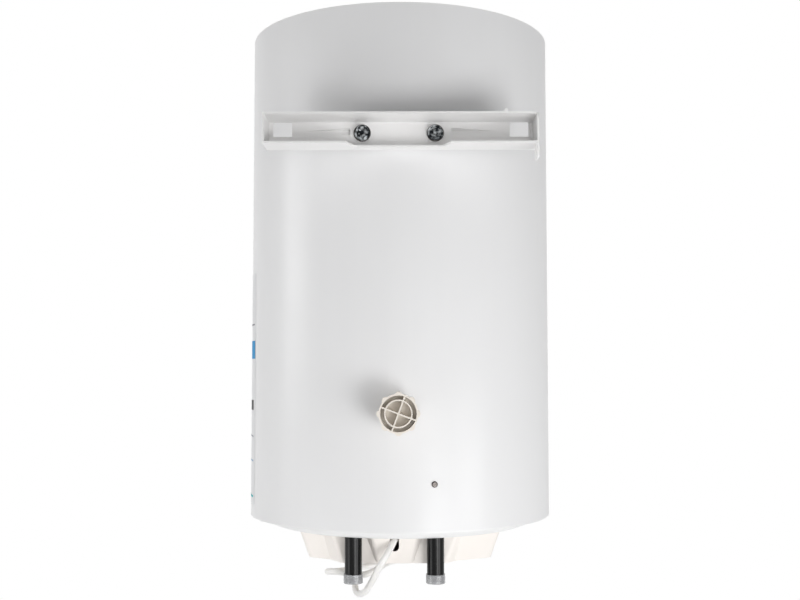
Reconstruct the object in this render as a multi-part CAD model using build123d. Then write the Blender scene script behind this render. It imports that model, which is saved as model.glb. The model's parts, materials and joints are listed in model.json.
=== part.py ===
"""Wall-hung electric storage water heater, as an assembly of separate pieces, in millimetres.

All pieces are drawn about the heater's own axis: x to the left seen from the wall side, y towards the
wall, z up from the casing's lower rim. On export everything moves to the mounting frame, whose
origin is the middle of the wall bracket in the wall plane.
"""
import os
from math import asin, atan2, cos, degrees, hypot, pi, radians, sin, sqrt, tan

from build123d import *

# Casing and caps
casing_radius = 190.0
casing_height = 600.0
casing_sheet = 0.8
cap_wall = 2.0
cap_skirt = 14.0
cap_lip = 12.0
cap_lip_height = 1.5
cap_slip = 0.2
top_dome_rise = 7.0
bottom_roll_width = 26.0
bottom_roll_drop = 11.3

# Pressure tank
insulation_thickness = 27.0
tank_wall = 2.0
tank_floor_above_rim = 58.0
tank_top_below_casing = 62.0
tank_dish = 42.0
tank_knuckle = 24.0
tank_end_skirt = 16.0
foam_slip = 0.3

# Wall bracket, a pressed tray open towards the wall
bracket_length = 304.0
bracket_height = 34.5
bracket_depth = 45.5
bracket_sheet = 2.0
bracket_bend = 4.0
bracket_casing_gap = 0.5
bracket_middle_above_rim = 446.3
bracket_shift = -2.2
bracket_cutback_depth = 24.0
bracket_cutback_half_outer = 58.0
bracket_cutback_half_inner = 49.5
bracket_cutback_corner = 7.0
window_width = 21.6
window_height = 16.6
window_inset = 4.9
window_top_gap = 0.4
window_corner = 1.5
end_tab_drop = 16.0
end_tab_depth = 24.0
end_tab_chamfer = 6.0
end_tab_corner = 3.0
bead_start = 57.5
bead_length = 50.0
bead_half_height = 4.5
bead_depth = 4.8
bead_tip = 0.4
bead_crest_up = 0.3
bead_crest_down = 0.7
nib_offset = 116.0
nib_width = 3.0
nib_height = 2.8

# Bracket bolts, M8 with a flange under the hexagon
bolt_spacing = 83.0
bolt_above_middle = 2.4
bolt_shank = 8.0
bolt_length = 20.0
bolt_hex = 13.0
bolt_head_height = 7.6
bolt_flange = 18.0
bolt_flange_height = 1.6
bolt_dish_radius = 4.6
bolt_dish_depth = 1.6
bolt_chamfer = 0.9
bolt_turn = 14.0
bolt_clearance = 0.5
washer_radius = 9.8
washer_thickness = 1.4
boss_radius = 10.0
hanger_sheet = 3.0
hanger_half_angle = 24.0
hanger_height = 46.0
casing_hole_gap = 1.0

# Adjustable wall spacer
spacer_above_rim = 133.2
foot_radius = 21.5
foot_wall = 1.8
foot_depth = 18.0
foot_floor = 2.5
foot_ring_radius = 15.4
foot_ring_wall = 1.5
foot_rib = 1.6
foot_rib_turn = -20.5
lobe_count = 8
lobe_radius = 4.2
lobe_reach = 23.8
stem_radius = 8.0
stem_engagement = 14.0
stem_running_gap = 0.06
socket_wall = 3.5
socket_flange_radius = 15.0
socket_flange = 1.6

# Small screw in the casing
casing_screw_height = 52.4
casing_screw_offset = -40.1
casing_screw_head = 7.0
casing_screw_head_height = 2.0
casing_screw_shank = 3.5
casing_screw_length = 9.0
casing_screw_rounding = 1.2

# Pipes and transit caps
pipe_offset = 6.2
pipe_spacing = 100.0
pipe_behind_axis = 75.0
pipe_radius = 10.48
pipe_bore_radius = 7.9
pipe_end_below_rim = 76.2
inlet_rise = 16.0
outlet_below_tank_top = 26.0
pipe_hole_gap = 1.0
transit_cap_wall = 1.2
transit_cap_running_gap = 0.05
transit_cap_height = 10.9
transit_cap_end_gap = 0.8
transit_cap_rounding = 0.8
diffuser_radius = 17.0
diffuser_height = 14.0
diffuser_wall = 1.5

# Flange group under the tank
flange_behind_axis = -30.0
collar_radius = 58.0
collar_bore = 46.0
collar_bottom = -6.0
gasket_thickness = 3.0
flange_thickness = 5.0
stud_count = 6
stud_circle = 52.0
stud_diameter = 8.0
stud_length = 21.0
stud_clearance = 0.5
nut_hex = 13.0
nut_height = 6.5
access_gap = 4.0

# Fittings on the flange plate, placed from the flange's centre
element_at = (24.0, 0.0)
element_tube = 8.5
element_leg_spacing = 26.0
element_rise = 265.0
element_pin = 4.0
element_pin_length = 16.0
anode_at = (2.0, -22.0)
anode_radius = 11.0
anode_length = 240.0
anode_stud_radius = 3.0
anode_nut_hex = 10.0
anode_nut_height = 5.0
pocket_at = (-12.0, 18.0)
pocket_radius = 6.0
pocket_wall = 1.0
pocket_rise = 220.0
bulb_radius = 3.5
bulb_length = 80.0
capillary_radius = 0.9
capillary_drop = 8.0
cutout_at = (-22.0, -12.0)
cutout_size = 22.0
cutout_height = 14.0
button_radius = 2.5
button_length = 9.0
button_travel = 1.5
button_stand_out = 3.0
button_running_gap = 0.05

# Electrical cover
cover_half_width = 115.5
cover_side_end = 20.0
cover_shoulder_half = 68.0
cover_rear = 46.0
cover_bottom = -56.8
cover_draft = 18.5
cover_wall = 2.5
cover_corner = 12.0
cover_pipe_gap = 2.5
platform_half = 64.0
platform_lean = 32.5
platform_corner = 8.0
platform_root = 30.0
rear_lobe_stand_out = 1.0
rear_lobe_half_top = 30.0
rear_lobe_half_bottom = 22.0
rear_lobe_lean = 30.0
rear_lobe_corner = 7.0
slot_width = 11.0
slot_top = -19.0
slot_bottom = -41.5
cover_screw_places = ((98.0, -12.0), (-98.0, -12.0), (4.0, -104.0))
screw_column_radius = 6.0
screw_head_radius = 3.6
screw_head_height = 2.4
screw_recess = 4.0
screw_shank_radius = 1.75
screw_bite = 1.9
screw_clearance = 0.3

# Thermostat and lamp, seated on the cover's floor
thermostat_at = (-50.0, -2.0)
thermostat_size = 32.0
thermostat_height = 22.0
shaft_radius = 3.0
shaft_running_gap = 0.05
shaft_length = 12.0
knob_radius = 17.0
knob_height = 8.0
knob_floor_gap = 0.5
knob_grip_count = 12
knob_grip_radius = 1.6
knob_grip_stand_out = 0.5
knob_chamfer = 1.2
pointer_half = 0.8
pointer_inner = 6.0
pointer_outer = 14.5
pointer_height = 0.5
lamp_at = (-86.0, -26.0)
lamp_radius = 4.5
lamp_stand_out = 1.8
lamp_seat_gap = 0.1
lamp_rounding = 1.4
lamp_holder_radius = 6.5
lamp_holder_height = 16.0

# Terminal block, cord grip and internal wires
terminal_at = (4.0, 37.0)
terminal_length = 36.0
terminal_width = 16.0
terminal_height = 15.0
terminal_pole_radius = 3.6
terminal_pole_depth = 5.0
terminal_screw_gap = 0.6
terminal_screw_length = 3.0
terminal_entry_share = 0.6
grip_length = 24.0
grip_width = 10.0
grip_height = 17.0
grip_screw_radius = 1.75
grip_screw_inset = 3.5
grip_screw_gap = 0.1
grip_screw_head_radius = 3.0
grip_screw_head_height = 1.8
grip_rounding = 2.0
grip_inward = 14.0
sheath_length = 22.0
wire_diameter = 2.4
wire_bend = 5.0
wire_level = -36.0
wire_stub = 8.5
wire_layer = 3.0
wire_corner = (-38.0, -58.0)
core_stub = 2.5
core_bend = 1.6
core_fan = 1.05
tag_offset = 6.0
tag_reach = 7.0
tag_thickness = 0.8
tag_low = 5.0
tag_high = 10.0
earth_lug_radius = 6.0
earth_lug_thickness = 1.0
earth_lug_tail = 11.0
earth_lug_width = 3.0

# Power cord: where it leaves the cover's slot, its free routes and its stored coil
cord_diameter = 8.0
core_diameter = 2.6
core_length = 14.0
core_spread = 0.62
cord_seat_gap = 0.1
cord_exit = (7.6, 72, -30)
lead_route = [
    (12.6, 85, -38.5), (24, 88, -56), (32, 78, -74), (43.5, 58, -95), (55, 34, -100), (58, 4, -87),
    (59.5, -28, -72),
]
tail_route = [
    (6, -20, -67.5), (26, -5, -70), (48, 3, -72), (72, 4, -76.8), (90, 18, -75.5), (91, 39, -71),
    (73, 54, -68.5), (49, 54, -74), (31, 46, -70), (20, 27, -64), (9, 10, -62.8), (-2, -7, -63.5),
    (-11, -19, -65),
]
cord_end_run = 24.0
coil_centre = (8.0, -90.0)
coil_outer_radius = 50.0
coil_pitch = 8.7
coil_turns = 2.625
coil_climb_turns = 0.5
coil_samples = 240
coil_top = -61.6
coil_tie_angle = -90.0
tie_width = 4.5
tie_thickness = 1.2
tie_gap = 0.3
tie_head_half = 3.0
tie_head_reach = 4.5
tie_head_bite = 0.2
tie_head_low = 4.0
tie_head_high = 9.5

# Sizes that follow from the ones above
tank_radius = casing_radius - insulation_thickness
wall_plane = casing_radius + bracket_casing_gap + bracket_depth
bracket_back = wall_plane - bracket_depth
bracket_floor_face = bracket_back + bracket_sheet
bolt_height = bracket_middle_above_rim + bolt_above_middle
casing_bore = casing_radius - casing_sheet
cap_flat_radius = casing_radius - cap_lip - bottom_roll_width
cap_underside = -cap_lip_height - bottom_roll_drop
tank_top = casing_height - tank_top_below_casing
gasket_bottom = collar_bottom - gasket_thickness
plate_bottom = gasket_bottom - flange_thickness
cover_height = cap_underside - cover_bottom
boss_root = sqrt(tank_radius ** 2 - (bolt_spacing / 2 + boss_radius + foam_slip) ** 2) - 1
platform_wall = pipe_behind_axis - pipe_radius - cover_pipe_gap
cover_floor = cover_bottom + cover_wall
draft_slope = tan(radians(cover_draft))
pipe_places = {
    "cold_inlet_pipe": pipe_offset + pipe_spacing / 2,
    "hot_outlet_pipe": pipe_offset - pipe_spacing / 2,
}
cap_bottom = -pipe_end_below_rim - transit_cap_end_gap - transit_cap_wall
nodes = {}


def on_flange(place):
    """A place given from the flange's centre, as x and y about the heater's axis."""
    return place[0], place[1] + flange_behind_axis


def rod(radius, x, y, low, high):
    """An upright round rod between two heights."""
    return Pos(x, y, (low + high) / 2) * Cylinder(radius, high - low)


def bar_y(radius, x, z, near, far):
    """A round bar along y between two places."""
    return Pos(x, (near + far) / 2, z) * Rot(90, 0, 0) * Cylinder(radius, far - near)


def block(low, high):
    """A box between two corners."""
    size = [b - a for a, b in zip(low, high)]
    middle = [(a + b) / 2 for a, b in zip(low, high)]
    return Pos(*middle) * Box(*size)


def turned(*lines):
    """A body of revolution about the heater's axis from lines in radius and height."""
    return revolve(Plane.XZ * make_face(Curve() + list(lines)), Axis.Z)


def along(points, radii, diameter):
    """A round tube along straight runs joined by tangent arcs."""
    path = FilletPolyline(*points, radius=radii)
    section = Plane(origin=path @ 0, z_dir=path % 0) * Circle(diameter / 2)
    return sweep(section, path)


def hexagon(width, x, y, low, high):
    """An upright hexagonal prism of a width across its flats."""
    face = Pos(x, y, low) * RegularPolygon(width / sqrt(3), 6)
    return extrude(face, high - low)


def crown_arc(reach, edge, crown):
    """A shallow arc from the axis out to an edge, level where it meets the axis."""
    radius = (reach ** 2 + (crown - edge) ** 2) / (2 * (crown - edge))
    half = asin(reach / radius) / 2
    middle = (radius * sin(half), crown - radius * (1 - cos(half)))
    return ThreePointArc((0, crown), middle, (reach, edge))


def dish_lines(radius, base, dish, knuckle):
    """The outline of a dished end: a knuckle arc that turns smoothly into the crown."""
    across = radius - knuckle
    crown = (across ** 2 + dish ** 2 - knuckle ** 2) / (2 * (dish - knuckle))
    centre = base + dish - crown
    lean = atan2(across, base - centre)
    join = (crown * sin(lean), centre + crown * cos(lean))
    rise = (pi / 2 - lean) / 2
    bend = (across + knuckle * cos(rise), base + knuckle * sin(rise))
    middle = (crown * sin(lean / 2), centre + crown * cos(lean / 2))
    return [ThreePointArc((radius, base), bend, join), ThreePointArc(join, middle, (0, base + dish))]


def make_casing():
    shell = rod(casing_radius, 0, 0, 0, casing_height)
    shell -= rod(casing_bore, 0, 0, -1, casing_height + 1)
    for side in (-1, 1):
        hole = boss_radius + casing_hole_gap
        shell -= bar_y(hole, side * bolt_spacing / 2, bolt_height, casing_radius / 2, casing_radius + 1)
    socket = stem_radius + stem_running_gap + socket_wall
    shell -= bar_y(socket + cap_slip, 0, spacer_above_rim, casing_radius / 2, casing_radius + 1)
    shell -= screw_form(casing_screw_shank / 2, casing_screw_length)
    nodes["outer_casing"] = shell


def screw_form(radius, inward):
    """A round bar that stands square to the casing where the small screw sits."""
    turn = degrees(atan2(casing_screw_offset, sqrt(casing_radius ** 2 - casing_screw_offset ** 2)))
    bar = bar_y(radius, 0, casing_screw_height, casing_radius - inward, casing_radius)
    return Rot(0, 0, -turn) * bar


def make_casing_screw():
    turn = degrees(atan2(casing_screw_offset, sqrt(casing_radius ** 2 - casing_screw_offset ** 2)))
    outer = casing_radius + casing_screw_head_height
    head = bar_y(casing_screw_head / 2, 0, casing_screw_height, casing_radius, outer)
    head = fillet(head.faces().sort_by(Axis.Y)[-1].edges(), casing_screw_rounding)
    nodes["casing_screw"] = Rot(0, 0, -turn) * head + screw_form(casing_screw_shank / 2, casing_screw_length)


def make_caps():
    """The top cap domes a little above its lip; the bottom cap rolls down to a flat floor."""
    skirt = casing_bore - cap_slip
    inner = skirt - cap_wall
    lip = casing_height + cap_lip_height
    shoulder = casing_radius - cap_lip
    crown = lip + top_dome_rise
    nodes["top_cap"] = turned(
        Polyline((0, crown - cap_wall), (0, crown)),
        crown_arc(shoulder, lip, crown),
        Polyline((shoulder, lip), (casing_radius, lip), (casing_radius, casing_height),
                 (skirt, casing_height), (skirt, casing_height - cap_skirt),
                 (inner, casing_height - cap_skirt), (inner, lip - cap_wall),
                 (shoulder, lip - cap_wall)),
        crown_arc(shoulder, lip - cap_wall, crown - cap_wall),
    )
    low = cap_underside
    roll_centre = (bottom_roll_width ** 2 + bottom_roll_drop ** 2) / (2 * bottom_roll_drop)
    half_turn = radians(degrees(atan2(bottom_roll_width, roll_centre - bottom_roll_drop)) / 2)

    def roll(radius, start_z):
        """The rolled edge, seen from below, as an arc tangent to the flat floor."""
        reach = sqrt(radius ** 2 - (radius - start_z + low_of) ** 2)
        middle = (cap_flat_radius + radius * sin(half_turn), low_of + radius * (1 - cos(half_turn)))
        return ThreePointArc((cap_flat_radius + reach, start_z), middle, (cap_flat_radius, low_of))

    low_of = low
    outer_roll = roll(roll_centre, -cap_lip_height)
    low_of = low + cap_wall
    inner_roll = roll(roll_centre - cap_wall, cap_wall - cap_lip_height)
    inner_start = inner_roll @ 0
    cap = turned(
        Polyline((0, low + cap_wall), (0, low), (cap_flat_radius, low)),
        outer_roll,
        Polyline((shoulder, -cap_lip_height), (casing_radius, -cap_lip_height), (casing_radius, 0),
                 (skirt, 0), (skirt, cap_skirt), (inner, cap_skirt), (inner, cap_wall - cap_lip_height),
                 (inner_start.X, inner_start.Y)),
        inner_roll,
        Polyline((cap_flat_radius, low + cap_wall), (0, low + cap_wall)),
    )
    cap -= rod(collar_radius + access_gap, 0, flange_behind_axis, low - 1, 1)
    for x in pipe_places.values():
        cap -= rod(pipe_radius + pipe_hole_gap, x, pipe_behind_axis, low - 1, 1)
    for x, y in cover_screw_places:
        cap -= rod(screw_shank_radius, x, y, low - 1, 1)
    for x, y in grip_screw_places():
        cap -= rod(grip_screw_radius, x, y, low - 1, 1)
    nodes["bottom_cap"] = cap


def dished_end(radius, base, dish, wall):
    """A dished end with a short skirt, as a body that points up from its base."""
    inner = radius - wall
    return turned(
        *dish_lines(radius, base, dish, tank_knuckle),
        Polyline((0, base + dish), (0, base + dish - wall)),
        *dish_lines(inner, base, dish - wall, tank_knuckle - wall),
        Polyline((inner, base), (inner, base - tank_end_skirt), (radius, base - tank_end_skirt),
                 (radius, base)),
    )


def make_tank():
    shell = rod(tank_radius, 0, 0, tank_floor_above_rim, tank_top)
    shell -= rod(tank_radius - tank_wall, 0, 0, tank_floor_above_rim - 1, tank_top + 1)
    nodes["tank_shell"] = shell
    end_radius = tank_radius - tank_wall
    nodes["tank_top_end"] = dished_end(end_radius, tank_top, tank_dish, tank_wall)
    low = Pos(0, 0, tank_floor_above_rim) * Rot(180, 0, 0) * dished_end(end_radius, 0, tank_dish, tank_wall)
    low -= rod(collar_bore, 0, flange_behind_axis, collar_bottom, tank_floor_above_rim)
    for x in pipe_places.values():
        low -= rod(pipe_radius, x, pipe_behind_axis, 0, tank_floor_above_rim)
    nodes["tank_bottom_end"] = low


def tank_solid():
    """The tank's outer form, filled, to clear the foam and the collar."""
    end_radius = tank_radius - tank_wall
    end = turned(
        *dish_lines(end_radius, 0, tank_dish, tank_knuckle),
        Polyline((0, tank_dish), (0, 0), (end_radius, 0)),
    )
    body = rod(tank_radius, 0, 0, tank_floor_above_rim, tank_top)
    return body + Pos(0, 0, tank_top) * end + Pos(0, 0, tank_floor_above_rim) * Rot(180, 0, 0) * end


def make_flange_group(tank):
    y = flange_behind_axis
    collar = rod(collar_radius, 0, y, collar_bottom, tank_floor_above_rim)
    collar -= rod(collar_bore, 0, y, collar_bottom - 1, tank_floor_above_rim + 1)
    nodes["flange_collar"] = collar - tank
    gasket = rod(collar_radius, 0, y, gasket_bottom, collar_bottom)
    gasket -= rod(collar_bore, 0, y, gasket_bottom - 1, collar_bottom + 1)
    plate = rod(collar_radius, 0, y, plate_bottom, gasket_bottom)
    studs = []
    nuts = []
    for number in range(stud_count):
        angle = 2 * pi * number / stud_count
        sx = stud_circle * cos(angle)
        sy = y + stud_circle * sin(angle)
        hole = rod(stud_diameter / 2 + stud_clearance, sx, sy, plate_bottom - 1, collar_bottom)
        gasket -= hole
        plate -= hole
        studs.append(rod(stud_diameter / 2, sx, sy, collar_bottom - stud_length, collar_bottom))
        nut = hexagon(nut_hex, sx, sy, plate_bottom - nut_height, plate_bottom)
        nuts.append(nut - rod(stud_diameter / 2, sx, sy, plate_bottom - nut_height - 1, plate_bottom + 1))
    nodes["flange_gasket"] = gasket
    nodes["flange_studs"] = Compound(studs)
    nodes["flange_nuts"] = Compound(nuts)
    make_element()
    make_anode()
    make_sensor_pocket()
    make_cutout()
    for x, leg_y in element_legs():
        plate -= rod(element_tube / 2, x, leg_y, plate_bottom - 1, gasket_bottom + 1)
    x, fy = on_flange(anode_at)
    plate -= rod(anode_stud_radius, x, fy, plate_bottom - 1, gasket_bottom + 1)
    x, fy = on_flange(pocket_at)
    plate -= rod(pocket_radius, x, fy, plate_bottom - 1, gasket_bottom + 1)
    nodes["flange_plate"] = plate


def element_legs():
    x, y = on_flange(element_at)
    half = element_leg_spacing / 2
    return ((x, y - half), (x, y + half))


def make_element():
    """A hairpin heating element: two legs joined by a round bend, with a pin at each end."""
    (x, front), (_, back) = element_legs()
    top = element_rise - element_leg_spacing / 2
    bend = element_leg_spacing / 2
    path = Curve() + [
        Line((x, front, plate_bottom), (x, front, top)),
        ThreePointArc((x, front, top), (x, (front + back) / 2, top + bend), (x, back, top)),
        Line((x, back, top), (x, back, plate_bottom)),
    ]
    section = Plane(origin=(x, front, plate_bottom), z_dir=(0, 0, 1)) * Circle(element_tube / 2)
    element = sweep(section, path)
    for leg_y in (front, back):
        element += rod(element_pin / 2, x, leg_y, plate_bottom - element_pin_length, plate_bottom)
    nodes["heating_element"] = element


def make_anode():
    x, y = on_flange(anode_at)
    low = gasket_bottom + gasket_thickness
    anode = rod(anode_radius, x, y, low, low + anode_length)
    stud_end = plate_bottom - anode_nut_height - anode_stud_radius
    nodes["anode_rod"] = anode + rod(anode_stud_radius, x, y, stud_end, low)
    nut = hexagon(anode_nut_hex, x, y, plate_bottom - anode_nut_height, plate_bottom)
    nodes["anode_nut"] = nut - rod(anode_stud_radius, x, y, stud_end, plate_bottom + 1)


def make_sensor_pocket():
    x, y = on_flange(pocket_at)
    inner = pocket_radius - pocket_wall
    pocket = rod(pocket_radius, x, y, plate_bottom, pocket_rise)
    pocket -= rod(inner, x, y, plate_bottom - 1, pocket_rise - pocket_wall)
    nodes["sensor_pocket"] = pocket
    bulb_top = pocket_rise - pocket_wall
    low = bulb_top - bulb_length
    bulb = rod(bulb_radius, x, y, low, bulb_top)
    tx, ty = thermostat_at
    top = cover_floor + thermostat_height
    down = plate_bottom - capillary_drop
    in_x = tx + thermostat_size / 4
    route = [(x, y, low), (x, y, down), (in_x, ty, down), (in_x, ty, top)]
    radii = [min(wire_bend, radius) for radius in route_radii(route)]
    nodes["thermostat_bulb"] = bulb + along(route, radii, 2 * capillary_radius)


def make_cutout():
    x, y = on_flange(cutout_at)
    half = cutout_size / 2
    low = plate_bottom - cutout_height
    body = block((x - half, y - half, low), (x + half, y + half, plate_bottom))
    body = fillet(body.edges().filter_by(Axis.Z), 2)
    bore = button_radius + button_running_gap
    body -= rod(bore, x, y, low - 1, low + button_length - button_stand_out + button_travel)
    for side in (-1, 1):
        tag_x = x + side * tag_offset
        body += block((tag_x - tag_thickness / 2, y - half - tag_reach, low + tag_low),
                      (tag_x + tag_thickness / 2, y - half, low + tag_high))
    nodes["thermal_cutout"] = body
    button = rod(button_radius, x, y, low - button_stand_out, low + button_length - button_stand_out)
    nodes["reset_button"] = button


def make_pipes():
    x = pipe_places["cold_inlet_pipe"]
    y = pipe_behind_axis
    inlet_top = tank_floor_above_rim + inlet_rise
    outlet_top = tank_top - outlet_below_tank_top
    tops = {"cold_inlet_pipe": inlet_top, "hot_outlet_pipe": outlet_top}
    for name, px in pipe_places.items():
        pipe = rod(pipe_radius, px, y, -pipe_end_below_rim, tops[name])
        nodes[name] = pipe - rod(pipe_bore_radius, px, y, -pipe_end_below_rim - 1, tops[name] + 1)
    bore = pipe_radius + transit_cap_running_gap
    rim = cap_bottom + transit_cap_height
    for name, px in (("inlet_transit_cap", x), ("outlet_transit_cap", pipe_places["hot_outlet_pipe"])):
        cap = rod(bore + transit_cap_wall, px, y, cap_bottom, rim)
        cap = fillet(cap.faces().sort_by(Axis.Z)[0].edges(), transit_cap_rounding)
        nodes[name] = cap - rod(bore, px, y, cap_bottom + transit_cap_wall, rim + 1)
    high = inlet_top + diffuser_height
    hat = rod(diffuser_radius, x, y, inlet_top - 2, high)
    hat -= rod(diffuser_radius - diffuser_wall, x, y, inlet_top - 3, high - diffuser_wall)
    for side in range(4):
        web = Rot(0, 0, 90 * side) * Pos((pipe_radius + diffuser_radius) / 2, 0, 0) * Box(
            diffuser_radius - pipe_radius, 2, diffuser_height)
        hat += Pos(x, y, high - diffuser_height / 2) * web
    nodes["inlet_diffuser"] = hat - rod(pipe_radius, x, y, inlet_top - 3, inlet_top)


def make_hanger():
    low = bolt_height - hanger_height / 2
    high = bolt_height + hanger_height / 2
    outer = tank_radius + hanger_sheet
    strap = rod(outer, 0, 0, low, high) - rod(tank_radius, 0, 0, low - 1, high + 1)
    reach = outer * 2
    side = reach * sin(radians(hanger_half_angle))
    wedge = make_face(Polyline((0, 0), (side, reach * cos(radians(hanger_half_angle))),
                               (-side, reach * cos(radians(hanger_half_angle))), (0, 0)))
    strap &= extrude(Pos(0, 0, low - 1) * wedge, high - low + 2)
    bosses = []
    for sign in (-1, 1):
        x = sign * bolt_spacing / 2
        boss = bar_y(boss_radius, x, bolt_height, boss_root, bracket_back)
        boss -= rod(outer, 0, 0, low, high)
        boss -= bar_y(bolt_shank / 2, x, bolt_height, bracket_back - bolt_length, bracket_back + 1)
        bosses.append(boss)
    nodes["tank_hanger"] = strap
    nodes["hanger_bosses"] = Compound(bosses)


def make_bracket():
    """The tray: floor at the back, flanges all round towards the wall, open to the wall side."""
    half = bracket_length / 2
    low = bracket_middle_above_rim - bracket_height / 2
    high = low + bracket_height
    outer = block((-half, bracket_back, low), (half, wall_plane, high))
    outer = fillet(outer.edges().group_by(Axis.Y)[0], bracket_bend)
    s = bracket_sheet
    inner = block((-half + s, bracket_floor_face, low + s), (half - s, wall_plane + 1, high - s))
    inner = fillet(inner.edges().group_by(Axis.Y)[0], bracket_bend - s)
    tray = outer
    for sign in (-1, 1):
        tray += stiffening_bead(sign, bracket_back, bead_half_height + s)
    tray -= inner
    for sign in (-1, 1):
        tray -= stiffening_bead(sign, bracket_floor_face, bead_half_height)
        tray -= hook_window(sign)
    tab_low = low - end_tab_drop
    tab = block((-half, wall_plane - end_tab_depth, tab_low), (-half + s, wall_plane, low + s))
    corners = tab.edges().filter_by(Axis.X).group_by(Axis.Z)[0]
    tray += fillet(corners, end_tab_corner)
    chamfered = make_face(Polyline((wall_plane, high), (wall_plane - end_tab_chamfer, high),
                                   (wall_plane, high - end_tab_chamfer), (wall_plane, high)))
    tray -= extrude(Plane.YZ.offset(-half - 1) * chamfered, s + 2)
    tray += block((-nib_offset - nib_width / 2, wall_plane - nib_width, high),
                  (-nib_offset + nib_width / 2, wall_plane, high + nib_height))
    tray = Pos(bracket_shift, 0, 0) * tray
    for sign in (-1, 1):
        hole = bolt_shank / 2 + bolt_clearance
        tray -= bar_y(hole, sign * bolt_spacing / 2, bolt_height, bracket_back - 1, wall_plane)
    near = wall_plane - bracket_cutback_depth
    cut = make_face(Polyline((-bracket_cutback_half_outer, wall_plane), (-bracket_cutback_half_inner, near),
                             (bracket_cutback_half_inner, near), (bracket_cutback_half_outer, wall_plane),
                             (-bracket_cutback_half_outer, wall_plane)))
    cut = fillet(cut.vertices().group_by(Axis.Y)[0], bracket_cutback_corner)
    nodes["wall_bracket"] = tray - extrude(Pos(0, 0, low - 1) * cut, s + 2)


def stiffening_bead(sign, face, half_height):
    """A tapered groove pressed into the tray's floor, deepest beside the bolt."""
    start = sign * bead_start
    end = sign * (bead_start + bead_length)
    z = bolt_height + bead_half_height / 2
    wide = Plane.YZ.offset(start) * Pos(face, z) * bead_section(half_height, bead_depth)
    tip_half = half_height - bead_half_height + bead_tip
    narrow = Plane.YZ.offset(end) * Pos(face, z) * bead_section(tip_half, bead_tip)
    return loft([wide, narrow])


def bead_section(half_height, depth):
    up = half_height * bead_crest_up
    down = half_height * bead_crest_down
    return make_face(Polyline((1, half_height), (-depth, up), (-depth, -down), (1, -half_height),
                              (1, half_height)))


def hook_window(sign):
    """An opening in the tray's floor that a wall hook reaches through."""
    inner_end = bracket_length / 2 - bracket_sheet - window_inset
    top = bracket_middle_above_rim + bracket_height / 2 - bracket_sheet - window_top_gap
    xs = sorted((sign * inner_end, sign * (inner_end - window_width)))
    window = block((xs[0], bracket_back - 1, top - window_height), (xs[1], bracket_floor_face + 1, top))
    return fillet(window.edges().filter_by(Axis.Y), window_corner)


def rounded_bar(x, near, far):
    """A round bar as wide as the hexagon's corners, chamfered at its far end."""
    bar = bar_y(bolt_hex / sqrt(3), x, bolt_height, near, far)
    return chamfer(bar.faces().sort_by(Axis.Y)[-1].edges(), bolt_chamfer)


def make_bracket_bolts():
    bolts = []
    washers = []
    seat = bracket_floor_face + washer_thickness
    for sign in (-1, 1):
        x = sign * bolt_spacing / 2
        shank = bar_y(bolt_shank / 2, x, bolt_height, bracket_back - bolt_length, seat)
        flange = bar_y(bolt_flange / 2, x, bolt_height, seat, seat + bolt_flange_height)
        face = Plane(origin=(x, seat + bolt_flange_height, bolt_height), z_dir=(0, 1, 0))
        turned_face = face * Rot(0, 0, bolt_turn * sign) * RegularPolygon(bolt_hex / sqrt(3), 6)
        top = seat + bolt_head_height
        head = extrude(turned_face, bolt_head_height - bolt_flange_height)
        head &= rounded_bar(x, seat, top)
        dish = Cone(bolt_dish_radius, bolt_dish_radius / 2, bolt_dish_depth,
                    align=(Align.CENTER, Align.CENTER, Align.MIN))
        head -= Plane(origin=(x, top, bolt_height), z_dir=(0, -1, 0)) * dish
        bolts.append(shank + flange + head)
        washer = bar_y(washer_radius, x, bolt_height, bracket_floor_face, seat)
        washers.append(washer - bar_y(bolt_shank / 2 + bolt_clearance, x, bolt_height, bracket_floor_face - 1,
                                      seat + 1))
    nodes["bracket_bolts"] = Compound(bolts)
    nodes["bracket_washers"] = Compound(washers)


def make_spacer():
    """A lobed foot with two rings and crossed ribs, on a threaded stem in a socket in the casing."""
    z = spacer_above_rim
    back = wall_plane - foot_depth
    foot = bar_y(foot_radius, 0, z, back, wall_plane)
    for number in range(lobe_count):
        angle = 2 * pi * number / lobe_count
        reach = lobe_reach - lobe_radius
        foot += bar_y(lobe_radius, reach * cos(angle), z + reach * sin(angle), back, wall_plane)
    foot -= bar_y(foot_radius - foot_wall, 0, z, back + foot_floor, wall_plane + 1)
    ring = bar_y(foot_ring_radius, 0, z, back + foot_floor, wall_plane)
    ring -= bar_y(foot_ring_radius - foot_ring_wall, 0, z, back, wall_plane + 1)
    foot += ring
    length = 2 * (foot_radius - foot_wall / 2)
    for turn in (0, 90):
        rib = Box(length, foot_depth - foot_floor, foot_rib)
        middle = (back + foot_floor + wall_plane) / 2
        foot += Pos(0, middle, z) * Rot(0, foot_rib_turn + turn, 0) * rib
    nodes["spacer_foot"] = foot
    inner_end = casing_radius - stem_engagement
    nodes["spacer_stem"] = bar_y(stem_radius, 0, z, inner_end, back)
    bore = stem_radius + stem_running_gap
    socket = bar_y(bore + socket_wall, 0, z, tank_radius + 1, casing_radius)
    socket += bar_y(socket_flange_radius, 0, z, tank_radius, casing_radius + socket_flange)
    flange_back = rod(casing_radius, 0, 0, z - socket_flange_radius - 1, z + socket_flange_radius + 1)
    sleeve = bar_y(bore + socket_wall, 0, z, tank_radius + 1, casing_radius)
    socket = (socket - flange_back) + sleeve
    nodes["spacer_socket"] = socket - bar_y(bore, 0, z, tank_radius, wall_plane)


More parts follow.
